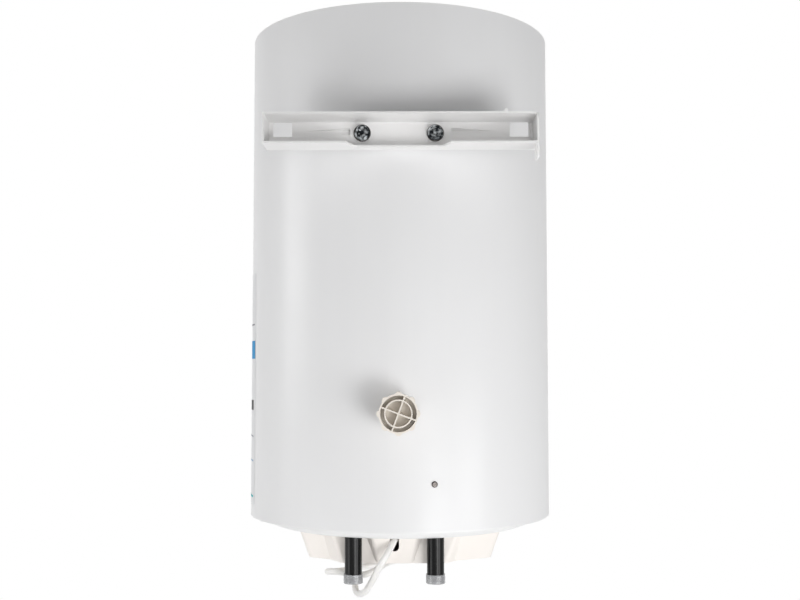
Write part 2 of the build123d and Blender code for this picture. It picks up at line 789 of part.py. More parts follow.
def cover_outline(grow, z):
    """The cover's plan, grown sideways: a round front, straight sides and slanted rear corners."""
    half = cover_half_width + grow
    slant = hypot(cover_half_width - cover_shoulder_half, cover_rear - cover_side_end)
    nx = (cover_rear - cover_side_end) / slant
    ny = (cover_half_width - cover_shoulder_half) / slant
    side_end = cover_side_end + grow * (1 - nx) / ny
    rear = cover_rear + grow
    shoulder = cover_shoulder_half + grow * (1 - ny) / nx
    outline = make_face(Curve() + [
        ThreePointArc((half, 0), (0, -half), (-half, 0)),
        Polyline((-half, 0), (-half, side_end), (-shoulder, rear), (shoulder, rear), (half, side_end),
                 (half, 0)),
    ])
    corners = [v for v in outline.vertices() if v.Y > 1]
    return Pos(0, 0, z) * fillet(corners, cover_corner)


def cover_form(inset):
    """The tapered body, the upright platform in front of the pipes, and the lobe between them."""
    low = cover_bottom + inset
    high = cap_underside + (1 if inset else 0)
    side = inset / cos(radians(cover_draft))

    def grow(z):
        return (z - cover_bottom) * draft_slope - side

    def lobe_half(z):
        share = (z - cover_bottom) / cover_height
        return rear_lobe_half_bottom + (rear_lobe_half_top - rear_lobe_half_bottom) * share

    body = loft([cover_outline(grow(low), low), cover_outline(grow(high), high)], ruled=True)
    platform = []
    lobe = []
    for z in (low, high):
        widen = grow(z) / cos(radians(platform_lean)) + inset * tan(radians(platform_lean))
        platform.append(leaning_section(z, platform_wall - inset, platform_half + widen, platform_lean,
                                        platform_corner))
        far = platform_wall + rear_lobe_stand_out + grow(z)
        narrow = inset / cos(radians(rear_lobe_lean)) - inset * tan(radians(rear_lobe_lean))
        lobe.append(leaning_section(z, far, lobe_half(z) - narrow, rear_lobe_lean, rear_lobe_corner))
    return body + loft(platform, ruled=True) + loft(lobe, ruled=True)


def leaning_section(z, far, half, lean, corner):
    """A level section about the pipes' middle line that widens away from its rounded rear corners."""
    wide = half + (far - platform_root) * tan(radians(lean))
    face = make_face(Polyline((-half, far), (half, far), (wide, platform_root), (-wide, platform_root),
                              (-half, far)))
    face = fillet(face.vertices().group_by(Axis.Y)[-1], corner)
    return Pos(pipe_offset, 0, z) * face


def make_cover():
    cover = cover_form(0) - cover_form(cover_wall)
    for x, y in cover_screw_places:
        cover += rod(screw_column_radius, x, y, cover_bottom, cap_underside)
        cover -= rod(screw_head_radius + screw_clearance, x, y, cover_bottom - 1, cover_bottom + screw_recess)
        cover -= rod(screw_shank_radius + screw_clearance, x, y, cover_bottom, cap_underside + 1)
    half = slot_width / 2
    slot_end = platform_wall + cover_height
    cover -= block((pipe_offset - half, platform_wall - cover_wall, slot_bottom + half),
                   (pipe_offset + half, slot_end, slot_top))
    cover -= bar_y(half, pipe_offset, slot_bottom + half, platform_wall - cover_wall, slot_end)
    x, y = thermostat_at
    cover -= rod(shaft_radius + 2, x, y, cover_bottom - 1, cover_floor + 1)
    x, y = lamp_at
    cover -= rod(lamp_radius + lamp_seat_gap, x, y, cover_bottom - 1, cover_floor + 1)
    nodes["electrical_cover"] = cover
    screws = []
    for x, y in cover_screw_places:
        seat = cover_bottom + screw_recess
        head = rod(screw_head_radius, x, y, seat - screw_head_height, seat)
        screws.append(head + rod(screw_shank_radius, x, y, seat, cap_underside + screw_bite))
    nodes["cover_screws"] = Compound(screws)


def make_thermostat():
    x, y = thermostat_at
    half = thermostat_size / 2
    top = cover_floor + thermostat_height
    body = block((x - half, y - half, cover_floor), (x + half, y + half, top))
    body = fillet(body.edges().filter_by(Axis.Z), 3)
    shaft_top = cover_bottom - knob_floor_gap - 2 + shaft_length
    body -= rod(shaft_radius + shaft_running_gap, x, y, cover_floor - 1, shaft_top + 0.5)
    nodes["thermostat_body"] = body
    knob_top = cover_bottom - knob_floor_gap
    knob_low = knob_top - knob_height
    knob = rod(knob_radius, x, y, knob_low, knob_top)
    knob = chamfer(knob.faces().sort_by(Axis.Z)[0].edges(), knob_chamfer)
    for number in range(knob_grip_count):
        angle = 2 * pi * number / knob_grip_count
        gx = x + (knob_radius + knob_grip_stand_out) * cos(angle)
        gy = y + (knob_radius + knob_grip_stand_out) * sin(angle)
        knob -= rod(knob_grip_radius, gx, gy, knob_low - 1, knob_top - 2)
    pointer = block((x - pointer_half, y + pointer_inner, knob_low - pointer_height),
                    (x + pointer_half, y + pointer_outer, knob_low + pointer_height))
    nodes["thermostat_knob"] = knob + pointer + rod(shaft_radius, x, y, knob_top - 2, shaft_top)


def make_lamp():
    x, y = lamp_at
    lens = rod(lamp_radius, x, y, cover_bottom - lamp_stand_out, cover_floor)
    lens = fillet(lens.faces().sort_by(Axis.Z)[0].edges(), lamp_rounding)
    nodes["pilot_lens"] = lens
    holder = rod(lamp_holder_radius, x, y, cover_floor, cover_floor + lamp_holder_height)
    nodes["pilot_holder"] = fillet(holder.faces().sort_by(Axis.Z)[-1].edges(), 1)


def sheath_line():
    """The cord's exit from the cover and its heading inward, straight on from the first free run."""
    start = Vector(*cord_exit)
    return start, (start - Vector(*lead_route[0])).normalized()


def grip_middle():
    """Where the sheath passes the middle of the grip, on the straight line in from the slot."""
    start, inward = sheath_line()
    return start + inward * grip_inward


def grip_screw_places():
    spot = grip_middle()
    return [(spot.X + side * (grip_length / 2 - grip_screw_inset), spot.Y) for side in (-1, 1)]


def make_terminals():
    x, y = terminal_at
    low = cap_underside - terminal_height
    body = block((x - terminal_length / 2, y - terminal_width / 2, low),
                 (x + terminal_length / 2, y + terminal_width / 2, cap_underside))
    for number in (-1, 0, 1):
        px = x + number * terminal_length / 3
        body -= rod(terminal_pole_radius, px, y, low - 1, low + terminal_pole_depth)
    nodes["terminal_block"] = body
    poles = []
    for number in (-1, 0, 1):
        px = x + number * terminal_length / 3
        seat = low + terminal_pole_depth
        radius = terminal_pole_radius - terminal_screw_gap
        poles.append(rod(radius, px, y, seat - terminal_screw_length, seat))
    nodes["terminal_screws"] = Compound(poles)


def make_grip_and_sheath():
    """The sheath runs straight in through the slot; a grip block under the cap holds it."""
    start, inward = sheath_line()
    spot = grip_middle()
    plane = Plane(origin=start, z_dir=inward)
    sheath = extrude(plane * Circle(cord_diameter / 2), sheath_length)
    nodes["cord_sheath_end"] = sheath
    grip = block((spot.X - grip_length / 2, spot.Y - grip_width / 2, cap_underside - grip_height),
                 (spot.X + grip_length / 2, spot.Y + grip_width / 2, cap_underside))
    grip -= extrude(plane * Circle(cord_diameter / 2 + cord_seat_gap), sheath_length * 2)
    screws = []
    low = cap_underside - grip_height
    for x, y in grip_screw_places():
        grip -= rod(grip_screw_radius + grip_screw_gap, x, y, low - 1, cap_underside + 1)
        head = rod(grip_screw_head_radius, x, y, low - grip_screw_head_height, low)
        screws.append(head + rod(grip_screw_radius, x, y, low, cap_underside + screw_bite))
    nodes["cord_grip"] = fillet(grip.edges().filter_by(Axis.Y).group_by(Axis.Z)[0], grip_rounding)
    nodes["cord_grip_screws"] = Compound(screws)
    return plane.offset(sheath_length)


def make_wiring(sheath_end):
    """Cores from the sheath to the terminals, and wires on to the element, cut-out and lug."""
    tx, ty = terminal_at
    rear = ty + terminal_width / 2
    front = ty - terminal_width / 2
    mid = cap_underside - terminal_height / 2
    step = terminal_length / 3
    spread = Vector(1, 0, 0) - sheath_end.z_dir * sheath_end.z_dir.X
    wires = []
    for number in (-1, 0, 1):
        start = sheath_end.origin + spread.normalized() * (number * wire_diameter * core_fan)
        px = tx + number * step * terminal_entry_share
        points = [start, start + sheath_end.z_dir * core_stub, (px, rear + wire_layer, mid), (px, rear, mid)]
        wires.append(along(points, [core_bend, core_bend], wire_diameter))
    nodes["mains_cores"] = Compound(wires)
    cut_x, cut_y = on_flange(cutout_at)
    (ex, e_front), (_, e_back) = element_legs()
    pin_tip = plate_bottom - element_pin_length
    low = cap_underside - terminal_height + wire_layer
    stub = front - wire_stub
    tag_y = cut_y - cutout_size / 2 - tag_reach
    tag_z = plate_bottom - cutout_height + tag_low
    left = cut_x - tag_offset
    right = cut_x + tag_offset
    below = wire_level - wire_layer
    phase = [(tx - step, front, low), (tx - step, stub, low), (tx - step, stub, wire_level),
             (*wire_corner, wire_level), (left, tag_y, wire_level), (left, tag_y, tag_z)]
    neutral = [(tx, front, low), (tx, stub, low), (tx, stub, wire_level), (ex, e_back, wire_level),
               (ex, e_back, pin_tip)]
    link = [(right, tag_y, tag_z), (right, tag_y, below), (ex, e_front, below), (ex, e_front, pin_tip)]
    for name, points in (("phase_wire", phase), ("neutral_wire", neutral), ("element_wire", link)):
        radii = [min(wire_bend, radius) for radius in route_radii(points)]
        nodes[name] = along(points, radii, wire_diameter)
    ground_x = stud_circle * cos(pi / 3)
    ground_y = flange_behind_axis + stud_circle * sin(pi / 3)
    lug_top = plate_bottom - nut_height
    lug_low = lug_top - earth_lug_thickness
    lug = rod(earth_lug_radius, ground_x, ground_y, lug_low, lug_top)
    lug += block((ground_x, ground_y, lug_low),
                 (ground_x + earth_lug_tail, ground_y + earth_lug_width, lug_top))
    nodes["earth_lug"] = lug - rod(stud_diameter / 2, ground_x, ground_y, lug_low - 1, lug_top + 1)


def route_radii(points):
    """Each corner's radius, from its shorter run and half its turn."""
    radii = []
    for a, b, c in zip(points, points[1:], points[2:]):
        first = Vector(*b) - Vector(*a)
        second = Vector(*c) - Vector(*b)
        half_turn = radians(first.get_angle(second)) / 2
        radii.append(0.45 * min(first.length, second.length) / tan(half_turn))
    return radii


def full_routes():
    """The two free routes with their ends set on the slot's mouth and on the coil's straight ends."""
    start = coil_point(0) - coil_heading(0) * cord_diameter
    end = coil_point(coil_turns) + coil_heading(coil_turns) * cord_diameter
    before = start - coil_heading(0) * cord_end_run
    after = end + coil_heading(coil_turns) * cord_end_run
    return [cord_exit] + lead_route + [before, start], [end, after] + tail_route


def free_cord(name, points):
    radii = route_radii(points)
    tube = along(points, radii, cord_diameter)
    path = FilletPolyline(*points, radius=radii)
    expected = pi * (cord_diameter / 2) ** 2 * path.length
    print(name, "length", round(path.length, 1), "volume over section times length",
          round(tube.volume / expected, 4))
    print(name, "radii in diameters", [round(radius / cord_diameter, 1) for radius in radii])
    nodes[name] = tube
    return path.length


def coil_point(turn):
    """A point of the stored coil: it spirals in on the upper layer and out again on the lower one."""
    middle = coil_turns / 2
    radius = coil_outer_radius - coil_pitch * (middle - abs(turn - middle))
    climb = min(max((turn - middle) / coil_climb_turns + 0.5, 0), 1)
    angle = -2 * pi * turn
    z = coil_top - coil_pitch * (1 - cos(pi * climb)) / 2
    return Vector(coil_centre[0] + radius * cos(angle), coil_centre[1] + radius * sin(angle), z)


def coil_heading(turn):
    step = 0.001
    return (coil_point(turn + step) - coil_point(turn - step)).normalized()


def biarc(start, start_heading, end, end_heading):
    """Two tangent arcs from one heading to another."""
    gap = end - start
    both = start_heading + end_heading
    spread = 2 * (1 - start_heading.dot(end_heading))
    reach = (-gap.dot(both) + sqrt(gap.dot(both) ** 2 + spread * gap.dot(gap))) / spread
    middle = (start + end + (start_heading - end_heading) * reach) * 0.5
    first = TangentArc(start, middle, tangent=start_heading)
    second = TangentArc(middle, end, tangent=first % 1)
    return [first, second]


def make_coil():
    """The stored coil as one unbroken tube, with its free ends tangent to the loose stretches."""
    quarter_count = round(coil_turns * 4)
    turns = [coil_turns * number / quarter_count for number in range(quarter_count + 1)]
    arcs = []
    for a, b in zip(turns, turns[1:]):
        arcs += biarc(coil_point(a), coil_heading(a), coil_point(b), coil_heading(b))
    start = coil_point(0)
    end = coil_point(coil_turns)
    arcs = [Line(start - coil_heading(0) * cord_diameter, start)] + arcs
    arcs.append(Line(end, end + coil_heading(coil_turns) * cord_diameter))
    path = Wire([arc.edge() for arc in arcs])
    section = Plane(origin=path @ 0, z_dir=path % 0) * Circle(cord_diameter / 2)
    nodes["cord_coil"] = sweep(section, path)
    samples = [coil_point(coil_turns * number / coil_samples) for number in range(coil_samples + 1)]
    half_turn = coil_samples / coil_turns / 2
    least = min((samples[i] - samples[j]).length for i in range(coil_samples + 1) for j in range(i)
                if i - j > half_turn)
    print("coil length", round(path.length, 1), "least gap to itself", round(least - cord_diameter, 2))
    return path.length


def make_tie():
    """A strap closed round the coil's strands."""
    inner_radius = coil_outer_radius - coil_pitch * coil_turns / 2
    half = cord_diameter / 2 + tie_gap
    near = inner_radius - half
    far = coil_outer_radius + half
    high = coil_top + half
    low = coil_top - coil_pitch - half
    corner = half
    middle = (near + far) / 2
    hole = RectangleRounded(far - near, high - low, corner)
    band = RectangleRounded(far - near + 2 * tie_thickness, high - low + 2 * tie_thickness,
                            corner + tie_thickness)
    strap = extrude(Plane.XZ * Pos(middle, (high + low) / 2) * (band - hole), tie_width / 2, both=True)
    outside = far + tie_thickness
    head = block((outside - tie_head_bite, -tie_head_half, low + tie_head_low),
                 (outside + tie_head_reach, tie_head_half, low + tie_head_high))
    placed = Pos(coil_centre[0], coil_centre[1], 0) * Rot(0, 0, coil_tie_angle) * (strap + head)
    nodes["cord_tie"] = placed


def make_bare_end():
    """The stripped cores at the cord's far end."""
    end = Vector(*tail_route[-1])
    heading = (end - Vector(*tail_route[-2])).normalized()
    side = heading.cross(Vector(0, 0, 1)).normalized()
    up = side.cross(heading).normalized()
    cores = []
    for number in range(3):
        angle = pi / 2 + 2 * pi * number / 3
        reach = core_diameter * core_spread
        start = end + side * (reach * cos(angle)) + up * (reach * sin(angle))
        cores.append(extrude(Plane(origin=start, z_dir=heading) * Circle(core_diameter / 2), core_length))
    nodes["cord_end_cores"] = Compound(cores)


def make_foam(tank):
    """The foam that fills the space between tank and casing."""
    foam = rod(casing_bore - foam_slip, 0, 0, cap_skirt, casing_height - cap_skirt)
    inner = casing_bore - cap_slip - cap_wall - foam_slip
    foam += rod(inner, 0, 0, cap_wall, casing_height - cap_wall)
    foam -= tank
    hanger_low = bolt_height - hanger_height / 2 - foam_slip
    strap_face = tank_radius + hanger_sheet + foam_slip
    strap_half = strap_face * sin(radians(hanger_half_angle)) + foam_slip
    strap_end = tank_radius * cos(radians(hanger_half_angle)) - foam_slip
    foam -= block((-strap_half, strap_end, hanger_low),
                  (strap_half, strap_face, hanger_low + hanger_height + 2 * foam_slip))
    for sign in (-1, 1):
        foam -= bar_y(boss_radius + foam_slip, sign * bolt_spacing / 2, bolt_height, boss_root,
                      casing_radius + 1)
    socket = stem_radius + stem_running_gap + socket_wall + foam_slip
    foam -= bar_y(socket, 0, spacer_above_rim, tank_radius - 1, casing_radius + 1)
    foam -= rod(collar_radius + foam_slip, 0, flange_behind_axis, 0, tank_floor_above_rim)
    for x in pipe_places.values():
        foam -= rod(pipe_radius + foam_slip, x, pipe_behind_axis, 0, tank_floor_above_rim)
    foam -= screw_form(casing_screw_shank / 2 + foam_slip, casing_screw_length + 1)
    for x, y in cover_screw_places:
        foam -= rod(screw_shank_radius + 1, x, y, 0, cap_wall + 4)
    nodes["insulation_foam"] = foam


def build_all():
    tank = tank_solid()
    make_casing()
    make_casing_screw()
    make_caps()
    make_tank()
    make_flange_group(tank)
    make_pipes()
    make_hanger()
    make_bracket()
    make_bracket_bolts()
    make_spacer()
    make_cover()
    make_thermostat()
    make_lamp()
    make_terminals()
    sheath_end = make_grip_and_sheath()
    make_wiring(sheath_end)
    lead, tail = full_routes()
    total = free_cord("cord_lead", lead)
    total += make_coil()
    total += free_cord("cord_tail", tail)
    print("cord length outside the cover", round(total, 1))
    make_tie()
    make_bare_end()
    make_foam(tank)


build_all()
os.makedirs("parts", exist_ok=True)
to_mount = Pos(-bracket_shift, -wall_plane, -bracket_middle_above_rim)
for name, shape in nodes.items():
    export_step(to_mount * shape, f"parts/{name}.step")
print(len(nodes), "nodes")
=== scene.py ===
"""The storage water heater dressed for a picture: camera, cord, materials, label and soft studio light."""
import json
from collections import namedtuple
from math import cos, pi, radians, sin, tan

import bmesh
import bpy
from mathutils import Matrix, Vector


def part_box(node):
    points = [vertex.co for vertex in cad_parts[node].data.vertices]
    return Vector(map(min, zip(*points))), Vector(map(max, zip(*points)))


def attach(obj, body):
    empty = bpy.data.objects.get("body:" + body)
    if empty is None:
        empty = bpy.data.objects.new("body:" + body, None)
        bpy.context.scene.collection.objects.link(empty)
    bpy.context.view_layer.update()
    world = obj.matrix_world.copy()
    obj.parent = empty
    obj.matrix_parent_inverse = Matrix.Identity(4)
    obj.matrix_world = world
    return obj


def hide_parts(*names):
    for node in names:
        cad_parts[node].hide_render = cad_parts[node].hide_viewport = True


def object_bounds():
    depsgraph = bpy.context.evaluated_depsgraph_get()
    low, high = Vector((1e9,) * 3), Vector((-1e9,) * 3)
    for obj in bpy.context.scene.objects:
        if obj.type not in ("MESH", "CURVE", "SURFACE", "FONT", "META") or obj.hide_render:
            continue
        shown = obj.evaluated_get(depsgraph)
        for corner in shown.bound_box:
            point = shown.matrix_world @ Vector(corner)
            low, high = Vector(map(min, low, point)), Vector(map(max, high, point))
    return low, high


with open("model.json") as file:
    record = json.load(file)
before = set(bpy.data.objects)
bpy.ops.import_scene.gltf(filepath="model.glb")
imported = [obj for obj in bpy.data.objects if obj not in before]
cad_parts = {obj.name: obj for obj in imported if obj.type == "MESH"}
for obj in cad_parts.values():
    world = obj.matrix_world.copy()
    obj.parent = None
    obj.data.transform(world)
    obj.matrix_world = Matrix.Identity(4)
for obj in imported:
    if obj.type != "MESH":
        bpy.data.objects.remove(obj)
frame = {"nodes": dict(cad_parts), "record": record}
cad_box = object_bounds()
nodes = frame["nodes"]

# The casing in the frame: places below are in millimetres from its axis and lower rim
MM = 0.001
casing_low, casing_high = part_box("outer_casing")
axis_x = (casing_low.x + casing_high.x) / 2
axis_y = (casing_low.y + casing_high.y) / 2
rim_z = casing_low.z
casing_radius = (casing_high.x - casing_low.x) / 2 / MM


def about_axis(x, y, z):
    """A point given in millimetres from the heater's axis and lower rim, in the scene."""
    return Vector((x * MM + axis_x, y * MM + axis_y, z * MM + rim_z))


def link(name, data):
    """A new object in the scene."""
    piece = bpy.data.objects.new(name, data)
    bpy.context.scene.collection.objects.link(piece)
    return piece


def aim(piece, target):
    """Turn a camera or a lamp towards a point."""
    piece.rotation_euler = (target - piece.location).to_track_quat("-Z", "Y").to_euler()


# Camera, found from the photograph: it looks at the axis and a little upwards, in degrees
CAMERA_PLACE = (-10.4, 1415.4, 184.9)
CAMERA_PITCH = 3.463
CAMERA_LENS = 49.0
SENSOR_WIDTH = 36.0


def make_camera():
    data = bpy.data.cameras.new("camera")
    data.lens = CAMERA_LENS
    data.sensor_width = SENSOR_WIDTH
    camera = link("camera", data)
    camera.location = about_axis(*CAMERA_PLACE)
    distance, height = CAMERA_PLACE[1:]
    aim(camera, about_axis(0, 0, height + distance * tan(radians(CAMERA_PITCH))))
    bpy.context.scene.camera = camera


# Cord: the same route as the tube, out of the slot, through the stored coil and on to the bare end.
CORD_DIAMETER = 8.0
CORD_EXIT = (7.6, 72, -30)
LEAD = [
    (12.6, 85, -38.5), (24, 88, -56), (32, 78, -74), (43.5, 58, -95), (55, 34, -100), (58, 4, -87),
    (59.5, -28, -72),
]
TAIL = [
    (6, -20, -67.5), (26, -5, -70), (48, 3, -72), (72, 4, -76.8), (90, 18, -75.5), (91, 39, -71),
    (73, 54, -68.5), (49, 54, -74), (31, 46, -70), (20, 27, -64), (9, 10, -62.8), (-2, -7, -63.5),
    (-11, -19, -65),
]
COIL_CENTRE = (8.0, -90.0)
COIL_TOP = -61.6
COIL_RADIUS = 50.0
COIL_PITCH = 8.7
COIL_TURNS = 2.625
COIL_CLIMB_TURNS = 0.5
COIL_RUN = 24.0
POINTS_PER_TURN = 16
CORD_SIDE_STEPS = 6
CORD_LENGTH_STEPS = 8


def coil_point(turn):
    """A point of the stored coil, which spirals in on its upper layer and out on its lower one."""
    middle = COIL_TURNS / 2
    radius = COIL_RADIUS - COIL_PITCH * (middle - abs(turn - middle))
    climb = min(max((turn - middle) / COIL_CLIMB_TURNS + 0.5, 0), 1)
    angle = -2 * pi * turn
    z = COIL_TOP - COIL_PITCH * (1 - cos(pi * climb)) / 2
    return Vector((COIL_CENTRE[0] + radius * cos(angle), COIL_CENTRE[1] + radius * sin(angle), z))


def coil_heading(turn):
    """The coil's direction at a point."""
    step = 0.001
    return (coil_point(turn + step) - coil_point(turn - step)).normalized()


def cord_route():
    """Lead, coil and tail in one list of points, with a straight run on each side of the coil."""
    first = coil_heading(0)
    last = coil_heading(COIL_TURNS)
    start = coil_point(0) - first * CORD_DIAMETER
    end = coil_point(COIL_TURNS) + last * CORD_DIAMETER
    count = round(COIL_TURNS * POINTS_PER_TURN)
    coil = [coil_point(COIL_TURNS * number / count) for number in range(count + 1)]
    lead = [CORD_EXIT] + LEAD + [start - first * COIL_RUN, start]
    tail = [end, end + last * COIL_RUN] + TAIL
    return [about_axis(*point) for point in lead + coil + tail]


def make_cord():
    data = bpy.data.curves.new("power_cord", "CURVE")
    data.dimensions = "3D"
    data.bevel_depth = CORD_DIAMETER * MM / 2
    data.bevel_resolution = CORD_SIDE_STEPS
    data.resolution_u = CORD_LENGTH_STEPS
    data.use_fill_caps = True
    route = cord_route()
    spline = data.splines.new("NURBS")
    spline.points.add(len(route) - 1)
    for point, place in zip(spline.points, route):
        point.co = (*place, 1)
    spline.order_u = 3
    spline.use_endpoint_u = True
    cord = link("power_cord", data)
    cord.data.materials.append(materials["cord_white"])
    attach(cord, "heater")
    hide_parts("cord_lead", "cord_coil", "cord_tail")


# Most values of a noise texture lie between these two
NOISE_LOW = 0.3
NOISE_HIGH = 0.7


class Surface:
    """A material whose colour, roughness and relief come from noise in the object's own space."""

    def __init__(self, name, colour, roughness, metallic=0.0):
        self.material = bpy.data.materials.new(name)
        self.material.use_nodes = True
        self.tree = self.material.node_tree
        self.shader = self.tree.nodes["Principled BSDF"]
        self.colour = colour
        self.roughness = roughness
        self.set(Base_Color=(*colour, 1), Roughness=roughness, Metallic=metallic)
        self.place = self.node("ShaderNodeTexCoord").outputs["Object"]
        self.normal = None

    def set(self, **values):
        """Give the shader's inputs one value each."""
        for key, value in values.items():
            self.shader.inputs[key.replace("_", " ")].default_value = value
        return self

    def node(self, kind, **values):
        """A new node with the named inputs set."""
        node = self.tree.nodes.new(kind)
        for key, value in values.items():
            node.inputs[key.replace("_", " ")].default_value = value
        return node

    def noise(self, scale, detail=3.0, stretch=(1, 1, 1)):
        """Noise of so many grains a metre, drawn out along an axis where its stretch is small."""
        mapping = self.node("ShaderNodeMapping", Scale=stretch)
        self.tree.links.new(self.place, mapping.inputs["Vector"])
        noise = self.node("ShaderNodeTexNoise", Scale=scale, Detail=detail)
        self.tree.links.new(mapping.outputs["Vector"], noise.inputs["Vector"])
        return noise.outputs["Fac"]

    def between(self, source, low, high):
        """Spread a noise value between two numbers."""
        mapped = self.node("ShaderNodeMapRange", From_Min=NOISE_LOW, From_Max=NOISE_HIGH,
                           To_Min=low, To_Max=high)
        self.tree.links.new(source, mapped.inputs["Value"])
        return mapped.outputs["Result"]

    def tint(self, source, other, amount):
        """Mix the colour towards another one where the noise is high."""
        mix = self.tree.nodes.new("ShaderNodeMix")
        mix.data_type = "RGBA"
        mix.inputs["A"].default_value = (*self.colour, 1)
        mix.inputs["B"].default_value = (*other, 1)
        colour_in = self.shader.inputs["Base Color"]
        if colour_in.is_linked:
            self.tree.links.new(colour_in.links[0].from_socket, mix.inputs["A"])
        self.tree.links.new(self.between(source, 0.0, amount), mix.inputs["Factor"])
        self.tree.links.new(mix.outputs["Result"], colour_in)

    def wear(self, source, spread):
        """Let the roughness vary by a spread to each side."""
        varied = self.between(source, self.roughness - spread, self.roughness + spread)
        self.tree.links.new(varied, self.shader.inputs["Roughness"])

    def relief(self, source, strength, depth=0.2):
        """Raise and lower the surface with the noise, by a depth in millimetres."""
        bump = self.node("ShaderNodeBump", Strength=strength, Distance=depth * MM)
        self.tree.links.new(source, bump.inputs["Height"])
        if self.normal:
            self.tree.links.new(self.normal, bump.inputs["Normal"])
        self.normal = bump.outputs["Normal"]
        self.tree.links.new(self.normal, self.shader.inputs["Normal"])


def toned(colour, share):
    """The same hue, lighter or darker."""
    return tuple(part * share for part in colour)


def gloss_paint(name, colour, roughness):
    """Powder coat: a faint orange peel, slow drifts of tone and thin upright streaks."""
    paint = Surface(name, colour, roughness)
    paint.set(Coat_Weight=0.22, Coat_Roughness=0.24, Specular_IOR_Level=0.3)
    paint.tint(paint.noise(5.0, detail=2.0), toned(colour, 0.96), amount=0.6)
    paint.tint(paint.noise(60.0, detail=2.0, stretch=(1, 1, 0.02)), toned(colour, 0.975), amount=0.5)
    paint.wear(paint.noise(40.0), spread=0.05)
    paint.relief(paint.noise(520.0, detail=2.0), strength=0.05)
    return paint.material


def moulded_plastic(name, colour, roughness):
    """Moulded plastic: fine spark grain with faint flow marks."""
    plastic = Surface(name, colour, roughness)
    plastic.tint(plastic.noise(12.0, stretch=(1, 1, 0.4)), toned(colour, 0.93), amount=0.5)
    plastic.wear(plastic.noise(90.0), spread=0.06)
    plastic.relief(plastic.noise(2600.0, detail=2.0), strength=0.10, depth=0.1)
    return plastic.material


def plated_metal(name, colour, roughness, spots):
    """Plated metal: fine scratches and darker spots, which keep a share of each part of the colour."""
    metal = Surface(name, colour, roughness, metallic=1.0)
    darker = tuple(part * share for part, share in zip(colour, spots))
    metal.tint(metal.noise(160.0), darker, amount=0.8)
    metal.wear(metal.noise(700.0, detail=4.0, stretch=(1, 1, 6)), spread=0.12)
    metal.relief(metal.noise(1800.0, stretch=(1, 1, 5)), strength=0.12, depth=0.1)
    return metal.material


def sheath(name, colour, roughness):
    """Soft cord sheath: a satin skin with slight grime and fine draw marks."""
    skin = Surface(name, colour, roughness)
    skin.set(Subsurface_Weight=0.06, Subsurface_Radius=(0.002, 0.002, 0.0015))
    skin.tint(skin.noise(45.0), toned(colour, 0.9), amount=0.5)
    skin.wear(skin.noise(150.0), spread=0.06)
    skin.relief(skin.noise(900.0), strength=0.08, depth=0.1)
    return skin.material


def dark_chrome(name):
    """Bright plating with near-black patches painted into its colour: a painted reflection of dark
    surroundings.
    """
    chrome = Surface(name, (0.42, 0.44, 0.45), 0.12, metallic=1.0)
    # Painted reflection: near-black patches stand in for dark surroundings mirrored in the plating
    chrome.tint(chrome.noise(230.0, detail=1.0), (0.012, 0.014, 0.016), amount=1.5)
    chrome.wear(chrome.noise(500.0), spread=0.04)
    chrome.relief(chrome.noise(900.0), strength=0.1, depth=0.1)
    return chrome.material


def tank_enamel(name):
    """Fired enamel: deep blue under a clear coat, with pale flecks."""
    enamel = Surface(name, (0.03, 0.06, 0.13), 0.25).set(Coat_Weight=0.4)
    enamel.tint(enamel.noise(400.0), (0.10, 0.14, 0.22), amount=0.7)
    enamel.relief(enamel.noise(300.0), strength=0.15)
    return enamel.material


def rigid_foam(name):
    """Blown foam: matt, yellowish and full of cells."""
    foam = Surface(name, (0.80, 0.70, 0.42), 0.9)
    foam.tint(foam.noise(140.0, detail=5.0), (0.55, 0.44, 0.22), amount=0.8)
    foam.relief(foam.noise(600.0, detail=5.0), strength=0.6, depth=1.0)
    return foam.material


def gasket_rubber(name):
    """Black rubber with a dusty bloom."""
    rubber = Surface(name, (0.02, 0.02, 0.02), 0.7)
    rubber.tint(rubber.noise(200.0), (0.06, 0.06, 0.06), amount=0.7)
    rubber.relief(rubber.noise(1200.0), strength=0.3)
    return rubber.material


def black_metal(name):
    """Glossy black lacquer over a pipe, drawn along its length."""
    lacquer = Surface(name, (0.003, 0.003, 0.0035), 0.11).set(Specular_IOR_Level=0.15)
    lacquer.tint(lacquer.noise(120.0), (0.008, 0.008, 0.008), amount=0.6)
    lacquer.wear(lacquer.noise(90.0, stretch=(1, 1, 0.2)), spread=0.04)
    lacquer.relief(lacquer.noise(500.0, detail=2.0), strength=0.04)
    return lacquer.material


def clear_cap(name):
    """Cloudy see-through plastic with upright waves in its wall."""
    clear = Surface(name, (0.84, 0.85, 0.86), 0.26).set(Transmission_Weight=0.75, IOR=1.45)
    clear.tint(clear.noise(160.0, detail=2.0, stretch=(1, 1, 0.1)), (0.60, 0.61, 0.63), amount=0.9)
    clear.relief(clear.noise(420.0, detail=2.0, stretch=(1, 1, 0.08)), strength=0.5, depth=0.4)
    return clear.material


def red_plastic(name):
    """Tinted lens plastic with deeper red clouds."""
    red = Surface(name, (0.6, 0.03, 0.02), 0.2).set(Transmission_Weight=0.5, IOR=1.5)
    red.tint(red.noise(200.0), (0.35, 0.01, 0.01), amount=0.5)
    return red.material


def printed_film(name):
    """Thin white film with a faint ripple."""
    film = Surface(name, (0.72, 0.72, 0.73), 0.4)
    film.tint(film.noise(30.0), (0.68, 0.69, 0.70), amount=0.6)
    film.relief(film.noise(200.0), strength=0.04)
    return film.material


def ink(name, colour):
    """Flat print with a fine speckle."""
    print_ink = Surface(name, colour, 0.55).set(Specular_IOR_Level=0.25)
    print_ink.tint(print_ink.noise(300.0), toned(colour, 1.3), amount=0.5)
    return print_ink.material


